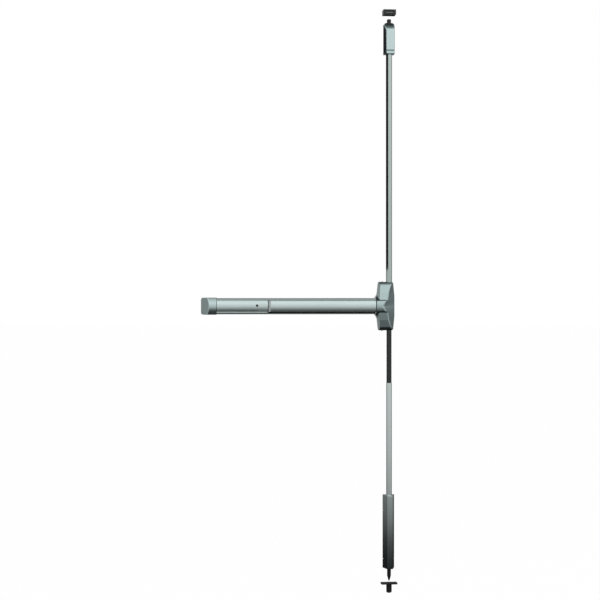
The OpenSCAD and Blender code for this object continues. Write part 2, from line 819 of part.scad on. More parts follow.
// Shouldered posts that the two levers turn on
module lever_posts() {
    color(spring_steel) for (side = [-1, 1]) {
        bar_y(lever_x, side * lever_z, lever_pin_r, 0.5, base_t);
        bar_y(lever_x, side * lever_z, lever_hub_r, base_t, tongue_d0 - 1);
        bar_y(lever_x, side * lever_z, lever_pin_r, tongue_d0 - 1, lever_d1 + 0.2);
        bar_y(lever_x, side * lever_z, lever_pin_r - 1, lever_d1 + 0.2, lever_d1 + 1.4);
        bar_y(lever_x, side * lever_z, lever_pin_r, lever_d1 + 1.4, lever_d1 + 2.4);
    }
}

// Clips in the grooves of the lever posts
module lever_clips() {
    color(spring_steel) for (side = [-1, 1]) difference() {
        bar_y(lever_x, side * lever_z, lever_pin_r + 2, lever_d1 + 0.3, lever_d1 + 1.3);
        bar_y(lever_x, side * lever_z, lever_pin_r - 1 + slip, lever_d1, lever_d1 + 2);
    }
}

// Headed stud that the carriage slides on
module carriage_guide() {
    color(spring_steel) {
        bar_y(guide_x, 0, guide_r, 0.5, base_t);
        bar_y(guide_x, 0, guide_r + 2, base_t, carriage_d0 - 0.3);
        bar_y(guide_x, 0, guide_r, carriage_d0 - 0.3, carriage_d1 + 0.3);
        bar_y(guide_x, 0, guide_r + 2, carriage_d1 + 0.3, carriage_d1 + 2);
    }
}

// The upper lever: one arm to the carriage and one to the rod
module lever() {
    color(steel) translate([lever_x, 0, lever_z]) rotate([0, -lever_swing, 0]) difference() {
        union() {
            outward(lever_d0, lever_d1) {
                circle(lever_hub_r);
                translate([0, -lever_arm_r]) square([lever_d, 2 * lever_arm_r]);
                translate([lever_d, 0]) circle(lever_arm_r);
                translate([-lever_arm_r, -lever_c]) square([2 * lever_arm_r, lever_c]);
                translate([0, -lever_c]) circle(lever_arm_r);
            }
            bar_y(0, 0, lever_hub_r, tongue_d0 - 0.8, lever_d0);
        }
        bar_y(0, 0, lever_pin_r + slip, 0, lever_d1 + 1);
        bar_y(lever_d, 0, pivot_r + slip, lever_d0 - 1, lever_d1 + 1);
        bar_y(0, -lever_c, drive_r + slip, lever_d0 - 1, lever_d1 + 1);
    }
}

// The pins in the upper lever's two arms
module lever_pins() {
    color(spring_steel) translate([lever_x, 0, lever_z]) rotate([0, -lever_swing, 0]) {
        bar_y(lever_d, 0, pivot_r, tongue_d0 - 1, lever_d1);
        bar_y(0, -lever_c, drive_r, lever_d0, carriage_d1 - 1.2);
    }
}

module upper_lever() { lever(); }
module lower_lever() { mirror([0, 0, 1]) lever(); }
module upper_lever_pins() { lever_pins(); }
module lower_lever_pins() { mirror([0, 0, 1]) lever_pins(); }

// ---------- rods ----------

module tube(r, z0, z1) {
    color(satin) difference() {
        bar_z(0, rod_depth, r, z0, z1);
        bar_z(0, rod_depth, r - tube_wall, z0 - 1, z1 + 1);
    }
}

// Rod end above the upper lever: a plug in the tube and a slotted tongue
module tongue(tube_r) {
    color(steel) difference() {
        union() {
            bar_z(0, rod_depth, tube_r - tube_wall - slip, rod_start, rod_start + plug_l);
            bar_z(0, rod_depth, tube_r - 1, rod_start - 5, rod_start);
            block(-tongue_half_w, tongue_half_w, tongue_d0, tongue_d1, link_z - tongue_end, rod_start - 4);
        }
        outward(tongue_d0 - 1, tongue_d1 + 1)
            translate([-lever_d * (1 - cos(lever_swing)) / 2, link_z]) slot(pivot_r + pin_play, 2);
    }
}

upper_rod_top = top_z0 + tube_tail;
sleeve_bottom = bottom_z1 - tube_tail;
lower_rod_bottom = -sleeve_z - 40;

module upper_rod() { tube(upper_r, rod_start, upper_rod_top); }
module upper_rod_tongue() { tongue(upper_r); }
module lower_rod() {
    difference() {
        tube(lower_r, lower_rod_bottom, -rod_start);
        cross_hole(sleeve_pin_r + fastener_gap / 2);
    }
}
module lower_rod_tongue() { mirror([0, 0, 1]) tongue(lower_r); }

sleeve_pin_z = -sleeve_z - 20;
sleeve_pin_r = 2;

module cross_hole(r) {
    bar_x(rod_depth, sleeve_pin_z, r, -sleeve_r - 1, sleeve_r + 1);
}

// Sleeve that lengthens the lower rod and carries it down to the bottom latch
module lower_rod_sleeve() {
    color(satin) difference() {
        bar_z(0, rod_depth, sleeve_r, sleeve_bottom, -sleeve_z);
        bar_z(0, rod_depth, lower_r + slip, sleeve_bottom - 1, -sleeve_z + 1);
        cross_hole(sleeve_pin_r + fastener_gap / 2);
    }
}

module sleeve_pin() {
    color(steel) bar_x(rod_depth, sleeve_pin_z, sleeve_pin_r, -sleeve_r + 0.6, sleeve_r - 0.6);
}

// Threaded coupling between a tube's end and a bolt's shank, pointing up
module bolt_nut(bore_r, end_z) {
    color(steel) {
        bar_z(0, rod_depth, bore_r - slip, end_z - plug_l, end_z);
        translate([0, -rod_depth, end_z]) cylinder(r = nut_r, h = nut_t, $fn = 6);
        bar_z(0, rod_depth, stud_r, end_z + nut_t, end_z + nut_t + stud_l);
    }
}

module top_bolt_nut() { bolt_nut(upper_r - tube_wall, upper_rod_top); }
module bottom_bolt_nut() { mirror([0, 0, 1]) bolt_nut(lower_r, -sleeve_bottom); }

// Round bolt on a bored shank, turned about the rod's axis
module turned_bolt(profile, bore_z, bore_dir) {
    color(black) difference() {
        translate([0, -rod_depth, 0]) rotate_extrude() polygon(profile);
        bar_z(0, rod_depth, stud_r + slip, min(bore_z, bore_z + bore_dir * (stud_l + 0.5)) - (bore_dir > 0 ? 1 : 0),
            max(bore_z, bore_z + bore_dir * (stud_l + 0.5)) + (bore_dir < 0 ? 1 : 0));
    }
}

module top_bolt() {
    z0 = upper_rod_top + nut_t;
    bevel = 2;
    turned_bolt([
        [0, z0], [shank_r, z0], [shank_r, top_shoulder_z], [top_bolt_r, top_shoulder_z],
        [top_bolt_r, top_bolt_end - bevel], [top_bolt_r - bevel, top_bolt_end], [0, top_bolt_end]
    ], z0, 1);
}

module bottom_bolt() {
    z1 = sleeve_bottom - nut_t;
    turned_bolt([
        [0, z1], [0, bottom_bolt_end], [bolt_tip_r, bottom_bolt_end],
        [bottom_bolt_r, bottom_bolt_end + bolt_taper], [bottom_bolt_r, bottom_shoulder_z],
        [shank_r, bottom_shoulder_z], [shank_r, z1]
    ], z1, -1);
}

// ---------- latches ----------

// A latch's base: the plate on the door, the shelf that guides the bolt's shank and the lugs for the cover
module latch_base(half_w, z0, z1, shelf_z, hole_zs, lug_zs) {
    color(steel) difference() {
        union() {
            block(-half_w, half_w, 0, base_t, z0, z1);
            block(-shelf_half, shelf_half, base_t - 1, shelf_depth, shelf_z, shelf_z + shelf_t);
            for (z = lug_zs) block(-half_w + 2, half_w - 2, base_t - 1, latch_lug_depth, z - 4, z + 4);
        }
        bar_z(0, rod_depth, shank_r + shank_gap, shelf_z - 1, shelf_z + shelf_t + 1);
        for (z = hole_zs) bar_y(0, z, mount_hole_r, -1, base_t + 1);
        for (z = lug_zs) bar_x(latch_screw_depth, z, latch_screw_r + fastener_gap, -half_w - 1, half_w + 1);
    }
}

// Screws through both sides of a latch cover, with heads let 1 mm into its wall
module latch_screws(side_x, zs) {
    head_x = side_x - 1;
    color(steel) for (z = zs, side = [0, 1]) mirror([side, 0, 0]) difference() {
        union() {
            bar_x(latch_screw_depth, z, latch_screw_r, head_x - 12, head_x + 0.5);
            bar_x(latch_screw_depth, z, 2.8, head_x, head_x + 1.8);
        }
        translate([head_x + 0.8, -latch_screw_depth, z]) rotate([0, 90, 0]) cylinder(r = 1.3, h = 2, $fn = 6);
    }
}

// The holes that those screws need in a cover
module latch_screw_holes(side_x, zs) {
    head_x = side_x - 1;
    for (z = zs, side = [0, 1]) mirror([side, 0, 0]) {
        bar_x(latch_screw_depth, z, latch_screw_r + fastener_gap, head_x - 8, head_x + 1);
        bar_x(latch_screw_depth, z, 2.8 + fastener_gap, head_x, head_x + 5);
    }
}

module top_latch_base() {
    latch_base(top_base_half, top_z0 + 4, top_z1 - latch_corner, top_shelf_z, top_hole_zs, top_lug_zs);
}

// Round-nosed form of the top latch's cover, taken in by an inset
module top_form(inset) {
    low = top_z0 + collar_h;
    intersection() {
        upward(low - (inset > 0 ? 1 : 0), top_z1 - inset)
            round_rect(-top_half_w + inset, top_half_w - inset, -latch_depth + inset, 12, latch_corner - inset);
        outward(inset > 0 ? -1 : 0, latch_depth)
            round_rect(-top_half_w + inset, top_half_w - inset, low - 12, top_z1 - inset, latch_corner - inset);
        sideways(-top_half_w, top_half_w)
            round_rect(-latch_depth + inset, 14, low - 14, top_z1 - inset, 12 - inset);
    }
}

module top_latch_cover() {
    color(cast) difference() {
        top_form(0);
        top_form(latch_wall);
        bar_z(0, rod_depth, top_bolt_r + hole_gap, top_z1 - 10, top_z1 + 1);
        latch_screw_holes(top_half_w, top_lug_zs);
    }
}

// Bottom end of the top latch, with the groove under the cover
module top_latch_collar() {
    ledge = top_z0 + collar_h - groove_h;
    color(cast) difference() {
        union() {
            intersection() {
                upward(top_z0, ledge) round_rect(-top_half_w, top_half_w, -latch_depth, 12, latch_corner);
                outward(0, latch_depth) round_rect(-top_half_w, top_half_w, top_z0, ledge + 12, 5);
            }
            intersection() {
                upward(ledge, top_z0 + collar_h)
                    round_rect(-top_half_w + groove_t, top_half_w - groove_t, -latch_depth + groove_t, 12,
                        latch_corner - groove_t);
                outward(0, latch_depth) translate([-top_half_w, ledge]) square([top_w, groove_h]);
            }
        }
        intersection() {
            upward(top_z0 + 3, top_z0 + collar_h + 1)
                round_rect(-top_base_half - seat_gap, top_base_half + seat_gap, -latch_depth + 2.5, 12, 6);
            outward(-1, latch_depth) translate([-top_half_w, top_z0]) square([top_w, 2 * collar_h]);
        }
        bar_z(0, rod_depth, upper_r + hole_gap, top_z0 - 1, top_z0 + collar_h);
    }
}

module top_latch_screws() { latch_screws(top_half_w, top_lug_zs); }

module top_bolt_spring() {
    color(spring_steel) translate([0, -rod_depth, 0])
        coil(spring_r, spring_wire_r, top_shelf_z + shelf_t + 0.2, top_shoulder_z - 0.2, 9);
}

module bottom_latch_base() {
    latch_base(bottom_base_half, bottom_z0 + latch_wall + 3, bottom_z1 - latch_wall - 3, bottom_shelf_z,
        bottom_hole_zs, bottom_lug_zs);
}

// Wedge-shaped section of the bottom latch's cover in X-Y
module bottom_section(skin, front_skin, back) {
    half_back = bottom_w / 2 + bottom_slope * back - skin;
    half_front = bottom_front_w / 2 + bottom_slope * front_skin - skin;
    polygon([
        [-half_back, back], [-half_front, -latch_depth + front_skin],
        [half_front, -latch_depth + front_skin], [half_back, back]
    ]);
}

// Half width of the bottom latch's cover at the depth of its screws
bottom_screw_x = bottom_w / 2 - bottom_slope * latch_screw_depth;

module bottom_latch_cover() {
    color(cast) difference() {
        upward(bottom_z0, bottom_z1) bottom_section(0, 0, 0);
        upward(bottom_z0 + latch_wall + 0.5, bottom_z1 - latch_wall - 0.5) bottom_section(bottom_skin, latch_wall, 1);
        bar_z(0, rod_depth, sleeve_r + hole_gap, bottom_z1 - 10, bottom_z1 + 1);
        bar_z(0, rod_depth, bottom_bolt_r + hole_gap, bottom_z0 - 1, bottom_z0 + 10);
        latch_screw_holes(bottom_screw_x, bottom_lug_zs);
    }
}

module bottom_latch_screws() { latch_screws(bottom_screw_x, bottom_lug_zs); }

module bottom_bolt_spring() {
    color(spring_steel) translate([0, -rod_depth, 0])
        coil(spring_r, spring_wire_r, bottom_shoulder_z + 0.2, bottom_shelf_z - 0.2, 11);
}

// ---------- strikes ----------

strike_hole_x = 14;

// Housing on the door frame, open below for the bolt and in front for the roller
module top_strike() {
    half = strike_w / 2;
    color(black) difference() {
        block(-half, half, 0, strike_depth, strike_z0, strike_z1);
        block(-half + strike_wall, half - strike_wall, strike_wall, strike_depth - strike_wall,
            strike_z0 - 1, strike_z1 - strike_wall);
        block(-roller_l / 2 - 0.5, roller_l / 2 + 0.5, strike_depth - strike_wall - 1, strike_depth + 1,
            roller_z - roller_r - 0.6, roller_z + roller_r + 0.6);
        bar_x(roller_depth, roller_z, axle_r + slip, -half + 1.5, half - 1.5);
        for (side = [-1, 1]) bar_y(side * strike_hole_x, roller_z, mount_hole_r, -1, strike_wall + 1);
    }
}

module strike_roller() {
    color([0.5, 0.52, 0.52]) difference() {
        bar_x(roller_depth, roller_z, roller_r, -roller_l / 2, roller_l / 2);
        bar_x(roller_depth, roller_z, axle_r + slip, -roller_l, roller_l);
    }
}

module strike_axle() {
    color(spring_steel) bar_x(roller_depth, roller_z, axle_r, -strike_w / 2 + 1.7, strike_w / 2 - 1.7);
}

floor_hole_x = 22;

// Plate and cup let into the floor for the bottom bolt
module floor_strike() {
    plate_z = floor_top - floor_t;
    cup_z = plate_z - cup_h;
    round_r = 6;
    color(black) difference() {
        union() {
            block(-floor_w / 2, floor_w / 2, floor_back, floor_front, plate_z, floor_top);
            translate([0, -rod_depth, 0]) rotate_extrude() {
                translate([0, cup_z]) square([cup_r - round_r, cup_h + 1]);
                translate([0, cup_z + round_r]) square([cup_r, cup_h + 1 - round_r]);
                translate([cup_r - round_r, cup_z + round_r]) intersection() {
                    circle(round_r);
                    translate([0, -round_r]) square(round_r);
                }
            }
        }
        bar_z(0, rod_depth, cup_r - cup_wall, cup_z + cup_wall + 1, floor_top + 1);
        for (side = [-1, 1]) bar_z(side * floor_hole_x, rod_depth, 2.8, plate_z - 1, floor_top + 1);
    }
}

// ---------- assembly ----------

rail();
end_cap();
end_bracket();
end_cap_screws();
rail_screws();
rail_cover();
crank_brackets();
crank_pivots();
crank_rivets();
dogging_bracket();
dogging_bracket_rivets();
touchpad();
pad_end_block();
pad_brackets();
left_crank();
right_crank();
left_crank_pins();
right_crank_pins();
left_crank_spring();
right_crank_spring();
drawbar();
carriage();
carriage_rivets();
dogging_screw();
dogging_cam();
case_base();
case_cover();
case_cover_screws();
lever_posts();
carriage_guide();
upper_lever();
lower_lever();
upper_lever_pins();
lower_lever_pins();
lever_clips();
upper_rod();
upper_rod_tongue();
top_bolt();
top_bolt_nut();
lower_rod();
lower_rod_sleeve();
sleeve_pin();
lower_rod_tongue();
bottom_bolt();
bottom_bolt_nut();
top_latch_base();
top_latch_cover();
top_latch_collar();
top_latch_screws();
top_bolt_spring();
bottom_latch_base();
bottom_latch_cover();
bottom_latch_screws();
bottom_bolt_spring();
top_strike();
strike_roller();
strike_axle();
floor_strike();
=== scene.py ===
"""Looks of a panic exit bar with surface vertical rods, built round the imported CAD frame.

The scene is in metres, with the door's face at Y = 0 and the rods at X = 0. The outlines of the sculpted
covers are in millimetres, with depth counted from the door towards the viewer.
"""

import json
import math

import bmesh
import bpy
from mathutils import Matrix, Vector

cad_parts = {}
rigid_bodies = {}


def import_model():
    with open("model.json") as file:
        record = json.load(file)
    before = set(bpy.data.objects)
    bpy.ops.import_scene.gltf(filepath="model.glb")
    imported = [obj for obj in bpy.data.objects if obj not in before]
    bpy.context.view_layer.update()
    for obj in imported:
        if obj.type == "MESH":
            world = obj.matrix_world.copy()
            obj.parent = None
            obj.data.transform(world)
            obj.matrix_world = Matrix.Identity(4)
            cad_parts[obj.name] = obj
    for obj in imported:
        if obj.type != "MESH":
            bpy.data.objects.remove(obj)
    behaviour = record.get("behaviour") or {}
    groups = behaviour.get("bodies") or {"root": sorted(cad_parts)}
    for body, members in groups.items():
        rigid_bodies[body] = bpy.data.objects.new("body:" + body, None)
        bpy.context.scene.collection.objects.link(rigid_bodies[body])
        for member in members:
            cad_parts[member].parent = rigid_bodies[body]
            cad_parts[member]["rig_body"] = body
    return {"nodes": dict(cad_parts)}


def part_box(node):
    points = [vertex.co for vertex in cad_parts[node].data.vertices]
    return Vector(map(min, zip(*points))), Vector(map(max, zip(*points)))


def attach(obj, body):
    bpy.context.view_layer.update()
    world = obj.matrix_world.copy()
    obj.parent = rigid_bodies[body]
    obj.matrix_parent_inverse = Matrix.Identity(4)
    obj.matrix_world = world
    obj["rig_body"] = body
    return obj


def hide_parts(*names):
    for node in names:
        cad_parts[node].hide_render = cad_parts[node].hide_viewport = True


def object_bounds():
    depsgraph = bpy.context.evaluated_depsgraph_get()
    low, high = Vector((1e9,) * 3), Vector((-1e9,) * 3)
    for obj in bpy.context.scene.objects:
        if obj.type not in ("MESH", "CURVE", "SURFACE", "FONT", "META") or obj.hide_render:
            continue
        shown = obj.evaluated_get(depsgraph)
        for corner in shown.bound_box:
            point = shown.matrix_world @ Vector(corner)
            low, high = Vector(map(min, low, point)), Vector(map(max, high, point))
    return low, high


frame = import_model()
CAD_BOX = [list(v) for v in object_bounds()]
nodes = frame["nodes"]
MM = 0.001


# ---------------------------------------------------------------- materials

class Finish:
    """A procedural material: a Principled BSDF with a few helpers that add nodes to it."""

    def __init__(self, name):
        self.material = bpy.data.materials.new(name)
        self.material.use_nodes = True
        self.tree = self.material.node_tree
        self.bsdf = self.tree.nodes["Principled BSDF"]

    def add(self, kind, settings=(), **inputs):
        made = self.tree.nodes.new(kind)
        for key, value in dict(settings).items():
            setattr(made, key, value)
        for key, value in inputs.items():
            self.put(made.inputs[key.replace("_", " ")], value)
        return made

    def put(self, socket, value):
        if isinstance(value, bpy.types.NodeSocket):
            self.tree.links.new(value, socket)
        else:
            socket.default_value = value

    def glow(self, colour, strength=1.0):
        """An emission in place of the Principled BSDF."""
        self.tree.nodes.remove(self.bsdf)
        emission = self.add("ShaderNodeEmission", Color=colour, Strength=strength)
        self.show(emission.outputs[0])

    def show(self, shader):
        out = [n for n in self.tree.nodes if n.type == "OUTPUT_MATERIAL"][0]
        self.tree.links.new(shader, out.inputs["Surface"])

    def noise(self, scale, detail=3.0, rough=0.5):
        where = self.add("ShaderNodeTexCoord").outputs["Object"]
        stretched = self.add("ShaderNodeMapping", Vector=where, Scale=scale).outputs[0]
        made = self.add("ShaderNodeTexNoise", Vector=stretched, Scale=1.0, Detail=detail, Roughness=rough)
        return made.outputs["Fac"]

    def ramp(self, fac, *stops):
        made = self.add("ShaderNodeValToRGB", Fac=fac)
        elements = made.color_ramp.elements
        while len(elements) < len(stops):
            elements.new(0.5)
        for element, (at, level) in zip(elements, stops):
            element.position = at
            element.color = tone(level, level, level)
        return made.outputs["Color"]

    def span(self, fac, low, high):
        return self.add("ShaderNodeMapRange", Value=fac, To_Min=low, To_Max=high).outputs[0]

    def blend(self, fac, a, b, mode="MIX"):
        made = self.add("ShaderNodeMix", {"data_type": "RGBA", "blend_type": mode})
        factor, first, second = made.inputs[0], made.inputs[6], made.inputs[7]
        for socket, value in ((factor, fac), (first, a), (second, b)):
            self.put(socket, value)
        return made.outputs[2]

    def maths(self, op, a, b=0.0):
        made = self.add("ShaderNodeMath", {"operation": op})
        self.put(made.inputs[0], a)
        self.put(made.inputs[1], b)
        return made.outputs[0]

    def place(self):
        """X, Y and Z in the object's own space."""
        where = self.add("ShaderNodeTexCoord").outputs["Object"]
        return self.add("ShaderNodeSeparateXYZ", Vector=where).outputs

    def edges(self, radius):
        """1 along the piece's edges and 0 elsewhere, with the rounded normal that finds them."""
        rounded = self.add("ShaderNodeBevel", {"samples": 4}, Radius=radius)
        flat = self.add("ShaderNodeNewGeometry")
        dot = self.add("ShaderNodeVectorMath", {"operation": "DOT_PRODUCT"})
        self.put(dot.inputs[0], rounded.outputs[0])
        self.put(dot.inputs[1], flat.outputs["Normal"])
        worn = self.add("ShaderNodeMapRange", Value=dot.outputs["Value"], From_Min=0.995, From_Max=0.9)
        return worn.outputs[0], rounded.outputs[0]


def tone(r, g, b):
    return (r, g, b, 1)


def scaled(colour, share, more=0.0):
    return tone(*(min(1, c * share + more) for c in colour[:3]))


# How finely the grain runs along X, Y and Z: drawn along one of them, or the same each way
GRAIN = {"x": (14, 1500, 1500), "z": (1500, 1500, 14), "all": (900, 900, 900)}
# Painted shade: the black that the shade bands below are painted with
BLACK = tone(0.004, 0.004, 0.004)
EDGE_RADIUS = 0.0006


def metal(name, colour, rough, grain="all", metallic=1.0, lines=0.10, depth=0.00003, mottle=0.08,
          wear=0.25, painted_shade_bands=()):
    """Satin or cast metal.

    It has fine grain in its colour, roughness and bump, soft patches from handling, and paler worn edges.
    Each painted shade band is a low and a high Z, and how far in front of the door it starts: inside it the
    colour is painted black, for the shade of a gap without light.
    """
    f = Finish(name)
    fine = f.noise(GRAIN[grain], detail=2.0)
    coarse = f.noise(tuple(v / 6 for v in GRAIN[grain]))
    patches = f.noise((9, 9, 9), detail=4.0, rough=0.6)
    worn, rounded = f.edges(EDGE_RADIUS)
    body = f.blend(fine, scaled(colour, 1 - lines), scaled(colour, 1 + lines))
    body = f.blend(f.span(patches, 0, mottle * 2), body, scaled(colour, 0.55))
    scuffed = f.maths("MULTIPLY", worn, f.span(f.noise((160, 160, 160)), 0.2 * wear, 1.8 * wear))
    shown = f.blend(scuffed, body, scaled(colour, 1.35, 0.04))
    # Painted shade: black over each band's place, for the shadow in a gap
    for low, high, front in painted_shade_bands:
        at = f.place()
        above, below = f.maths("GREATER_THAN", at["Z"], low), f.maths("LESS_THAN", at["Z"], high)
        inside = f.maths("MULTIPLY", f.maths("MULTIPLY", above, below), f.maths("LESS_THAN", at["Y"], -front))
        shown = f.blend(inside, shown, BLACK)
    f.put(f.bsdf.inputs["Base Color"], shown)
    spread = f.maths("ADD", f.span(fine, -0.05, 0.05), f.span(patches, rough - 0.05, rough + 0.05))
    f.put(f.bsdf.inputs["Roughness"], f.maths("SUBTRACT", spread, f.maths("MULTIPLY", scuffed, 0.2)))
    f.bsdf.inputs["Metallic"].default_value = metallic
    height = f.maths("ADD", fine, f.maths("MULTIPLY", coarse, 1.5))
    bump = f.add("ShaderNodeBump", Strength=0.35, Distance=depth, Height=height, Normal=rounded)
    f.put(f.bsdf.inputs["Normal"], bump.outputs[0])
    return f.material


STAINLESS = tone(0.63, 0.745, 0.735)
CAST = {"lines": 0.05, "depth": 0.00006}
PAD_EDGE = 0.0207
# Painted shade: the pad is black above and below PAD_EDGE, for the shadow in the gap along its edges, and the
# rail's lip is black just below the middle, for the shade under the pad
PAD_GAP_SHADE = ((-1, -PAD_EDGE, 0), (PAD_EDGE, 1, 0))
LIP_GAP_SHADE = ((-0.0262, 0, 0.04),)
FINISHES = {
    "pad_steel": metal("pad_steel", STAINLESS, 0.30, "x", painted_shade_bands=PAD_GAP_SHADE),
    "cover_steel": metal("cover_steel", STAINLESS, 0.30, "x"),
    "rod_steel": metal("rod_steel", tone(0.46, 0.545, 0.52), 0.15, "z", lines=0.06),
    "sleeve_steel": metal("sleeve_steel", tone(0.71, 0.80, 0.78), 0.15, "z", lines=0.06),
    # Painted dark reflection: the lower rod is bright steel, given a near-black colour for the dark
    # reflection that it shows
    "dark_rod_steel": metal("dark_rod_steel", tone(0.052, 0.057, 0.057), 0.2, "z", lines=0.08),
    "rail_aluminium": metal("rail_aluminium", tone(0.365, 0.43, 0.42), 0.26, "x", lines=0.12,
                            painted_shade_bands=LIP_GAP_SHADE),
    "casting": metal("casting", tone(0.44, 0.55, 0.55), 0.26, **CAST),
    # Painted light: a paler copy of the same cast metal as the case cover, for the brighter light that the
    # end cap, top latch and collar show
    "pale_casting": metal("pale_casting", tone(0.53, 0.655, 0.65), 0.26, **CAST),
    "dark_casting": metal("dark_casting", tone(0.60, 0.69, 0.68), 0.10, **CAST),
    "black_steel": metal("black_steel", tone(0.022, 0.023, 0.024), 0.38, metallic=0.55, lines=0.2, wear=0.5),
    "roller_steel": metal("roller_steel", tone(0.22, 0.22, 0.22), 0.34, "x"),
    "zinc_steel": metal("zinc_steel", tone(0.60, 0.60, 0.57), 0.38, mottle=0.2),
    "spring_steel": metal("spring_steel", tone(0.33, 0.33, 0.34), 0.30),
    "grey_plastic": metal("grey_plastic", tone(0.30, 0.33, 0.34), 0.45, metallic=0.0, lines=0.03, wear=0.3),
}
# What isn't named here, and is inside or behind, is zinc plated
PAINTED = {
    "pad_steel": ["touchpad"],
    "cover_steel": ["rail_cover"],
    "rod_steel": ["upper_rod"],
    "sleeve_steel": ["lower_rod_sleeve"],
    "dark_rod_steel": ["lower_rod"],
    "rail_aluminium": ["rail"],
    "casting": ["end_cap", "case_cover", "top_latch_cover", "top_latch_collar"],
    "dark_casting": ["bottom_latch_cover"],
    "black_steel": ["top_bolt", "bottom_bolt", "top_strike", "floor_strike", "dogging_screw"],
    "roller_steel": ["strike_roller"],
    "spring_steel": ["left_crank_spring", "right_crank_spring", "top_bolt_spring", "bottom_bolt_spring",
                     "lever_clips"],
    "grey_plastic": ["pad_end_block"],
}
finish_of = {n: f for f, names in PAINTED.items() for n in names}


def paint(obj, finish):
    if not obj.material_slots:
        obj.data.materials.append(finish)
    for entry in obj.material_slots:
        entry.material = finish


for name, obj in nodes.items():
    paint(obj, FINISHES[finish_of.get(name, "zinc_steel")])


# ---------------------------------------------------------------- sculpted covers

def border_samples(length, reach, inner):
    """Places across a span: close together over the rounded borders, then even between them."""
    near = [reach * (1 - math.cos(math.radians(a))) for a in range(0, 91, 15)]
    middle = [reach + (length - 2 * reach) * i / inner for i in range(1, inner)]
    return near + middle + [length - d for d in reversed(near)]


def soft_min(values, soft):
    low = min(values)
    return low - soft * math.log(sum(math.exp((low - v) / soft) for v in values))


def soft_max(values, soft):
    return -soft_min([-v for v in values], soft)


def between(x, table):
    """Straight-line value at x in a table of (x, value) pairs."""
    if x <= table[0][0]:
        return table[0][1]
    for (x0, v0), (x1, v1) in zip(table, table[1:]):
        if x <= x1:
            return v0 + (v1 - v0) * (x - x0) / (x1 - x0)
    return table[-1][1]


def ellipse_fall(t):
    """How far a quarter ellipse has fallen, as a share of its depth, at a share t of the way out."""
    return 1 - math.sqrt(1 - min(max(t, 0.0), 1.0) ** 2)


def corner(distance, across, back):
    """The fall of a rounded corner, across wide and back deep, at a distance from the outline."""
    return back * ellipse_fall(1 - distance / across)


CROWN_R = 44
SHOULDER = 20.5


def crowned(top, h, slope):
    """A front crowned as the pad is, then a straight slope back from the shoulder."""
    crown = top - h * h / 2 / CROWN_R
    side = top - SHOULDER * SHOULDER / 2 / CROWN_R - (h - SHOULDER) * slope
    return soft_min((crown, side), 0.7)


def made_mesh(name, bm):
    bmesh.ops.recalc_face_normals(bm, faces=bm.faces)
    mesh = bpy.data.meshes.new(name)
    bm.to_mesh(mesh)
    bm.free()
    return mesh


def bridge(bm, rim, lower):
    for i, v in enumerate(rim):
        k = (i + 1) % len(rim)
        bm.faces.new((v, lower[i], lower[k], rim[k]))


def rim_of(grid):
    """The border of a grid of vertices, once round."""
    right = [line[-1] for line in grid[1:]]
    left = [line[0] for line in grid[-2:0:-1]]
    return grid[0] + right + grid[-1][-2::-1] + left


def skin(bm, z0, z1, sides, depth, edge, columns, rows, inset):
    """One side of a cover, inset from the outer one. Gives its rim at the door."""
    low, high, bend = z0 + inset, z1 - inset, max(edge - inset, 0.5)
    grid = []
    for dz in border_samples(high - low, bend, rows):
        z = low + dz
        left, right = sides(z + math.copysign(inset, z))
        left, right = left + inset, right - inset
        line = []
        for dx in border_samples(right - left, bend, columns):
            across = max(0.0, 1 - min(dx, right - left - dx) / bend)
            along = max(0.0, 1 - min(dz, high - low - dz) / bend)
            drop = bend * ellipse_fall(math.hypot(across, along))
            d = max(depth(left + dx, z) - inset - drop, 1.0)
            line.append(bm.verts.new(((left + dx) * MM, -d * MM, z * MM)))
        grid.append(line)
    for r0, r1 in zip(grid, grid[1:]):
        for corners in zip(r0, r0[1:], r1[1:], r1):
            bm.faces.new(corners)
    rim = rim_of(grid)
    for share in (0.5, 0.0):
        lower = [bm.verts.new((v.co.x, v.co.y * share, v.co.z)) for v in rim]
        bridge(bm, rim, lower)
        rim = lower
    return rim


def cover_mesh(name, z0, z1, sides, depth, edge, wall, columns, rows):
    """A hollow cover, from an outline sides(z) and a front depth(x, z) with rounded borders.

    Its walls go back to the door, and the inside is the same again, one wall further in.
    """
    bm = bmesh.new()
    rims = [skin(bm, z0, z1, sides, depth, edge, columns, rows, inset) for inset in (0.0, wall)]
    bridge(bm, *rims)
    return made_mesh(name, bm)


def bar_mesh(name, axis, centre, radius, low, high):
    """A round bar along X with its centre at (depth, z), or along Z with its centre at (x, depth)."""
    bm = bmesh.new()
    r = radius * MM
    bmesh.ops.create_cone(bm, cap_ends=True, segments=48, radius1=r, radius2=r, depth=(high - low) * MM)
    middle = (low + high) / 2
    for v in bm.verts:
        if axis == "X":
            v.co = Vector((v.co.z + middle * MM, v.co.y - centre[0] * MM, v.co.x + centre[1] * MM))
        else:
            v.co += Vector((centre[0] * MM, -centre[1] * MM, middle * MM))
    return made_mesh(name, bm)


def prism_mesh(name, outline, x0, x1):
    """A closed prism along X from a (depth, z) outline."""
    bm = bmesh.new()
    first, last = ([bm.verts.new((x * MM, -d * MM, z * MM)) for d, z in outline] for x in (x0, x1))
    for i in range(len(outline)):
        k = (i + 1) % len(outline)
        bm.faces.new((first[i], first[k], last[k], last[i]))
    bm.faces.new(first[::-1])
    bm.faces.new(last)
    return made_mesh(name, bm)


def block_mesh(name, x0, x1, depth, z0, z1):
    return prism_mesh(name, [(-1, z0), (depth, z0), (depth, z1), (-1, z1)], x0, x1)


def section_outline(section, half, inset):
    """The inside of a hull along X: its front from section(z), its sides straight back past the door."""
    steps = 28
    heights = [half * (2 * k / steps - 1) for k in range(steps + 1)]
    front = [(section(z) - inset, z * (half - inset) / half) for z in heights]
    return [(-1.0, inset - half)] + front + [(-1.0, half - inset)]


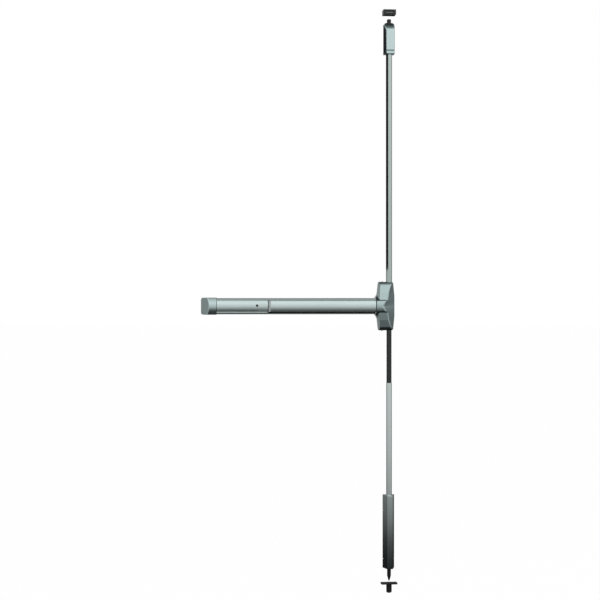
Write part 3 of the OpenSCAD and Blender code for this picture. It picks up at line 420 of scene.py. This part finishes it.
def loose_parts(obj):
    """The corners of the box, in mm, of each separate part of a node's mesh."""
    links = list(range(len(obj.data.vertices)))

    def root(i):
        while links[i] != i:
            links[i] = links[links[i]]
            i = links[i]
        return i

    for edge in obj.data.edges:
        links[root(edge.vertices[0])] = root(edge.vertices[1])
    groups = {}
    for v in obj.data.vertices:
        groups.setdefault(root(v.index), []).append(obj.matrix_world @ v.co)
    for points in groups.values():
        low = [min(q[i] for q in points) / MM for i in range(3)]
        high = [max(q[i] for q in points) / MM for i in range(3)]
        yield low, high


def screw_holes(node, axis, share, reach):
    """A bar for each screw of a node, a share of the head's radius, from reach inside the head outwards."""
    bars = []
    along = "XYZ".index(axis)
    for k, (low, high) in enumerate(loose_parts(nodes[node])):
        centre = [(a + b) / 2 for a, b in zip(low, high)]
        radius = (high[1] - low[1]) / 2 * share
        middle = (-centre[1], centre[2]) if axis == "X" else (centre[0], -centre[1])
        if centre[along] > 0:
            start, stop = high[along] - reach, high[along]
        else:
            start, stop = low[along], low[along] + reach
        bars.append(bar_mesh("%s_%d" % (node, k), axis, middle, radius, start - 1, stop + 1))
    return bars


def sculpted(name, node, finish, mesh, openings):
    """Puts a cover in the place of a node, with its openings cut."""
    obj = bpy.data.objects.new(name, mesh)
    bpy.context.scene.collection.objects.link(obj)
    obj.data.materials.append(FINISHES[finish])
    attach(obj, nodes[node]["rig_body"])
    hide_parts(node)
    tools = []
    for opening in openings:
        tool = bpy.data.objects.new(opening.name, opening)
        bpy.context.scene.collection.objects.link(tool)
        cut = obj.modifiers.new(opening.name, "BOOLEAN")
        cut.operation = "DIFFERENCE"
        cut.solver = "EXACT"
        cut.object = tool
        tools.append(tool)
    obj.data = bpy.data.meshes.new_from_object(obj.evaluated_get(bpy.context.evaluated_depsgraph_get()))
    obj.modifiers.clear()
    for tool in tools:
        bpy.data.objects.remove(tool)
    obj.data.shade_smooth()
    obj.data.set_sharp_from_angle(angle=math.radians(50))


def box_mm(node):
    lo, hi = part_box(node)
    return lo / MM, hi / MM


def half_width(node):
    lo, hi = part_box(node)
    return (hi.x - lo.x) / 2 / MM


ROD_LO, ROD_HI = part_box("upper_rod")
ROD_DEPTH = -(ROD_LO.y + ROD_HI.y) / 2 / MM
GAP = 0.7


def rod_way(name, node, low, high):
    """The opening for something round that runs on the rods' centreline."""
    return bar_mesh(name, "Z", (0, ROD_DEPTH), half_width(node) + GAP, low, high)


# The centre case: a body that gets shallower to its ends, a neck that carries the pad's section on to it, and
# one long flank that cuts both on the right. Its tables go by height above or below the middle.
CASE_LO, CASE_HI = box_mm("case_cover")
CASE_END = CASE_HI.z
CASE_RIGHT = CASE_HI.x
CASE_WALL = 2.4
NECK_LEFT, NECK_DEPTH = CASE_LO.x, -CASE_LO.y - 0.1
NECK_HALF = 33
NECK_WALL = 2.5
CASE_LEFT = NECK_LEFT + 7.5
SIDE_DEPTH = 24
FLANK_DEPTH = 14
FLARE_END = 46
LEFT_SIDE = ((32, CASE_LEFT), (CASE_END - 7, CASE_LEFT + 5.5), (CASE_END - 3, CASE_LEFT + 6.2),
             (CASE_END, CASE_LEFT + 9))
RIGHT_SIDE = ((38, CASE_RIGHT), (CASE_END - 6, CASE_RIGHT - 4.5), (CASE_END - 3, CASE_RIGHT - 5.5),
              (CASE_END, CASE_RIGHT - 9))
FRONT = ((20, 54), (52, 47), (83, 38))
FLANK_EDGE = ((0, -17), (20, -12), (52, -6), (83, 6))
BEVEL_WIDTH = ((20, 5.5), (83, 3.5))


def case_sides(z):
    h = abs(z)
    left = between(h, LEFT_SIDE)
    if h < FLARE_END:
        left = between(h, ((31.5, NECK_LEFT), (38, NECK_LEFT + 5), (FLARE_END, left)))
    return left, between(h, RIGHT_SIDE)


def neck_section(z, slope=1.9):
    return crowned(NECK_DEPTH, abs(z), slope)


def case_depth(x, z):
    h = abs(z)
    left, right = case_sides(z)
    front = between(h, FRONT)
    ridge = between(h, LEFT_SIDE) + between(h, BEVEL_WIDTH)
    bevel = SIDE_DEPTH + (x - left) * (front - SIDE_DEPTH) / (ridge - left)
    flank = FLANK_DEPTH + (right - x) * (front - FLANK_DEPTH) / (right - between(h, FLANK_EDGE))
    end = 27 + (CASE_END - h) * 1.25
    groove = 0.9 * math.exp(-((CASE_END - 9.5 - h) / 1.3) ** 2)
    body = soft_min((front - groove, bevel, end), 1.0)
    slope = between(x, ((-49, 1.9), (-41, 3.4)))
    neck = neck_section(z, slope) if h < NECK_HALF + 8 else 0.0
    soft = between(x, ((-44, 2.4), (-37, 0.8)))
    return soft_min((soft_max((body, neck), soft), flank), 1.6)


sculpted("case_cover_cast", "case_cover", "casting",
         cover_mesh("case_cover_cast", -CASE_END, CASE_END, case_sides, case_depth, 3.0, CASE_WALL, 72, 180),
         [prism_mesh("tunnel", section_outline(neck_section, NECK_HALF, NECK_WALL),
                     NECK_LEFT - 1, CASE_LEFT + 12),
          rod_way("upper_hole", "upper_rod", CASE_END - 12, CASE_END + 3),
          rod_way("lower_hole", "lower_rod", -CASE_END - 3, 12 - CASE_END)]
         + screw_holes("case_cover_screws", "Z", 0.66, 8))


# The end cap: the pad's section, falling away to the left, round at its left corners
CAP_LO, CAP_HI = box_mm("end_cap")
CAP_CORNER = 8
CAP_WALL = 1.4


def cap_sides(z):
    return CAP_LO.x + corner(CAP_HI.z - abs(z), CAP_CORNER, CAP_CORNER), CAP_HI.x


def cap_section(z):
    return crowned(-CAP_LO.y, abs(z), 0.57)


def cap_depth(x, z):
    fall = 5 + (x - CAP_LO.x) * 2.05
    return soft_min((cap_section(z), fall), 0.8)


sculpted("end_cap_cast", "end_cap", "pale_casting",
         cover_mesh("end_cap_cast", CAP_LO.z, CAP_HI.z, cap_sides, cap_depth, 2.5, CAP_WALL, 40, 44),
         [prism_mesh("rail_way", section_outline(cap_section, CAP_HI.z, CAP_WALL),
                     CAP_HI.x - 8, CAP_HI.x + 1)]
         + screw_holes("end_cap_screws", "Z", 1.05, 6))


# The top latch: a deep cover with a nose that falls back, on a collar with a groove between them
TOP_LO, TOP_HI = box_mm("top_latch_cover")
COLLAR_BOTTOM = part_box("top_latch_collar")[0].z / MM
BASE_HALF = half_width("top_latch_base") + 0.4
BASE_DEPTH = 28
NOSE_HEIGHT = 25
GROOVE_HEIGHT, GROOVE_DEPTH = 2.5, 1.4


def top_plan(x):
    flat = -TOP_LO.y - 0.8 * (x / TOP_HI.x) ** 2
    return flat - corner(x - TOP_LO.x, 13, 10) - corner(TOP_HI.x - x, 7, 6)


def top_sides(z):
    half = TOP_HI.x - corner(TOP_HI.z - z, 9, 9)
    return -half, half


def top_depth(x, z):
    nose = -TOP_LO.y - soft_max((0.0, (z - TOP_HI.z + NOSE_HEIGHT) * 0.8), 2.0)
    return soft_min((top_plan(x), nose), 1.0)


def collar_sides(z):
    return TOP_LO.x, TOP_HI.x


def collar_depth(x, z):
    return top_plan(x) - (GROOVE_DEPTH if z > TOP_LO.z - GROOVE_HEIGHT else 0.0)


sculpted("top_latch_cast", "top_latch_cover", "pale_casting",
         cover_mesh("top_latch_cast", TOP_LO.z, TOP_HI.z, top_sides, top_depth, 3.5, 2, 36, 60),
         [block_mesh("foot_way", -BASE_HALF, BASE_HALF, BASE_DEPTH, TOP_LO.z - 1, TOP_LO.z + 5),
          rod_way("top_bolt_way", "top_bolt", TOP_HI.z - 30, TOP_HI.z + 1)]
         + screw_holes("top_latch_screws", "X", 0.66, 6))
sculpted("top_collar_cast", "top_latch_collar", "pale_casting",
         cover_mesh("top_collar_cast", COLLAR_BOTTOM, TOP_LO.z, collar_sides, collar_depth, 2.6, 2.4, 36, 8),
         [block_mesh("head_way", -BASE_HALF, BASE_HALF, BASE_DEPTH, TOP_LO.z - 5, TOP_LO.z + 1),
          rod_way("rod_way", "upper_rod", COLLAR_BOTTOM - 1, COLLAR_BOTTOM + 6)])


# The bottom latch: a long cover with slanted sides
LOW_LO, LOW_HI = box_mm("bottom_latch_cover")
LOW_FRONT_HALF = 10.5


def low_sides(z):
    return LOW_LO.x, LOW_HI.x


def low_depth(x, z):
    side = (LOW_HI.x - abs(x)) * -LOW_LO.y / (LOW_HI.x - LOW_FRONT_HALF)
    return soft_min((-LOW_LO.y - 0.4 * (x / LOW_FRONT_HALF) ** 2, side), 0.5)


sculpted("bottom_latch_cast", "bottom_latch_cover", "dark_casting",
         cover_mesh("bottom_latch_cast", LOW_LO.z, LOW_HI.z, low_sides, low_depth, 1.2, 2, 44, 60),
         [rod_way("sleeve_way", "lower_rod_sleeve", LOW_HI.z - 5, LOW_HI.z + 1),
          rod_way("bottom_bolt_way", "bottom_bolt", LOW_LO.z - 1, LOW_LO.z + 5)]
         + screw_holes("bottom_latch_screws", "X", 0.66, 6))


# ---------------------------------------------------------------- stage

FLOOR_Z = CAD_BOX[0][2] - 0.012
TENT_R = 3.5
WHITE = tone(1, 1, 1)

# How light the tent is by the turn about the vertical: 0.5 is straight in front, 0.25 left and 0.75 right
AROUND = ((0.0, 0.55), (0.12, 0.52), (0.165, 0.34), (0.22, 0.75), (0.36, 0.95), (0.60, 1.0), (0.745, 0.95),
          (0.79, 0.26), (1.0, 0.28))
# and by the height of what is seen, from straight down to straight up
UPWARD = ((0.0, 0.015), (0.10, 0.035), (0.18, 0.09), (0.24, 0.20), (0.33, 0.40), (0.41, 0.66), (0.50, 0.76),
          (0.65, 0.97), (0.78, 1.12), (0.89, 1.0), (0.96, 0.40), (1.0, 0.26))


def stage_piece(name, bm, material, glossy_only=False):
    mesh = bpy.data.meshes.new(name)
    bm.to_mesh(mesh)
    bm.free()
    obj = bpy.data.objects.new(name, mesh)
    bpy.context.scene.collection.objects.link(obj)
    obj.data.materials.append(material)
    if glossy_only:
        for ray in ("camera", "diffuse", "shadow", "transmission", "volume_scatter"):
            setattr(obj, "visible_" + ray, False)


def tent():
    """A ball of light round the object that only reflections see, cut flat just above the floor."""
    bm = bmesh.new()
    bmesh.ops.create_uvsphere(bm, u_segments=72, v_segments=48, radius=TENT_R)
    for v in bm.verts:
        v.co.z = max(v.co.z, FLOOR_Z + 0.004)
    f = Finish("studio_tent")
    at = f.place()
    turn = f.maths("ARCTAN2", at["X"], f.maths("MULTIPLY", at["Y"], -1.0))
    around = f.ramp(f.maths("ADD", f.maths("DIVIDE", turn, 2 * math.pi), 0.5), *AROUND)
    direction = f.add("ShaderNodeVectorMath", {"operation": "NORMALIZE"})
    f.put(direction.inputs[0], f.add("ShaderNodeTexCoord").outputs["Object"])
    up = f.add("ShaderNodeSeparateXYZ", Vector=direction.outputs[0]).outputs["Z"]
    upward = f.ramp(f.maths("ADD", f.maths("MULTIPLY", up, 0.5), 0.5), *UPWARD)
    f.glow(f.blend(1.0, around, upward, "MULTIPLY"))
    stage_piece("studio_tent", bm, f.material, glossy_only=True)


def rod_flag():
    """An upright black card bent round the left of the upper rod, which gives the rod its dark edge."""
    reach = 0.2
    rod_y = (ROD_LO.y + ROD_HI.y) / 2
    bm = bmesh.new()
    turns = [math.radians(a) for a in range(-178, -34, 10)]
    bottom, top = ([bm.verts.new((reach * math.sin(a), rod_y - reach * math.cos(a), z)) for a in turns]
                   for z in (ROD_LO.z + 0.075, ROD_HI.z + 0.14))
    for corners in zip(bottom, bottom[1:], top[1:], top):
        bm.faces.new(corners)
    f = Finish("rod_flag")
    f.glow(WHITE, 0.004)
    stage_piece("rod_flag", bm, f.material, glossy_only=True)


def floor():
    """A pale floor that takes the shadows, and that the camera sees as nearly the white of the background."""
    bm = bmesh.new()
    bmesh.ops.create_grid(bm, x_segments=4, y_segments=4, size=60)
    for v in bm.verts:
        v.co.z = FLOOR_Z
    f = Finish("studio_floor")
    f.put(f.bsdf.inputs["Base Color"], f.ramp(f.noise((40, 40, 40), detail=2.0), (0.0, 0.84), (1.0, 0.88)))
    f.bsdf.inputs["Roughness"].default_value = 0.9
    path = f.add("ShaderNodeLightPath").outputs
    seen = f.maths("MAXIMUM", path["Is Glossy Ray"], path["Is Transmission Ray"])
    seen = f.maths("MAXIMUM", path["Is Camera Ray"], seen)
    glow = f.add("ShaderNodeEmission", Color=WHITE, Strength=1.0)
    mix = f.add("ShaderNodeMixShader", Fac=f.maths("MULTIPLY", seen, 0.985))
    f.tree.links.new(f.bsdf.outputs[0], mix.inputs[1])
    f.tree.links.new(glow.outputs[0], mix.inputs[2])
    f.show(mix.outputs[0])
    stage_piece("studio_floor", bm, f.material)


def studio_world():
    """White where the camera, a reflection or a transmission looks, and softer as a light."""
    world = bpy.data.worlds.new("studio")
    world.use_nodes = True
    tree = world.node_tree
    background = tree.nodes["Background"]
    background.inputs["Color"].default_value = WHITE
    path = tree.nodes.new("ShaderNodeLightPath").outputs
    seen = path["Is Camera Ray"]
    for other in ("Is Glossy Ray", "Is Transmission Ray"):
        either = tree.nodes.new("ShaderNodeMath")
        either.operation = "MAXIMUM"
        tree.links.new(seen, either.inputs[0])
        tree.links.new(path[other], either.inputs[1])
        seen = either.outputs[0]
    level = tree.nodes.new("ShaderNodeMapRange")
    level.inputs["To Min"].default_value = 0.55
    level.inputs["To Max"].default_value = 1.0
    tree.links.new(seen, level.inputs["Value"])
    tree.links.new(level.outputs[0], background.inputs["Strength"])
    return world


def lamp(name, at, aim, size, watts):
    data = bpy.data.lights.new(name, "AREA")
    data.shape = "DISK"
    data.size = size
    data.energy = watts
    obj = bpy.data.objects.new(name, data)
    scene.collection.objects.link(obj)
    obj.location = at
    obj.rotation_mode = "QUATERNION"
    obj.rotation_quaternion = (Vector(aim) - Vector(at)).to_track_quat("-Z", "Y")
    obj.visible_glossy = False


def camera(distance, target_x, height, yaw):
    """Level, and turned by yaw about the point that it looks at."""
    data = bpy.data.cameras.new("camera")
    data.lens = 89.6
    data.sensor_width = 36
    data.clip_end = 200
    obj = bpy.data.objects.new("camera", data)
    scene.collection.objects.link(obj)
    obj.location = (target_x - distance * math.sin(yaw), -distance * math.cos(yaw), height)
    obj.rotation_euler = (math.radians(90), 0, -yaw)
    return obj


scene = bpy.context.scene
tent()
rod_flag()
floor()
scene.world = studio_world()
lamp("key", at=(0.9, -3.2, 2.6), aim=(-0.2, 0, 0.1), size=2.2, watts=75)
lamp("fill", at=(2.6, -2.0, 0.6), aim=(-0.2, 0, 0), size=2.0, watts=25)
scene.camera = camera(distance=5.6, target_x=-0.335, height=0.0229, yaw=math.radians(6))
scene.view_settings.view_transform = "Standard"
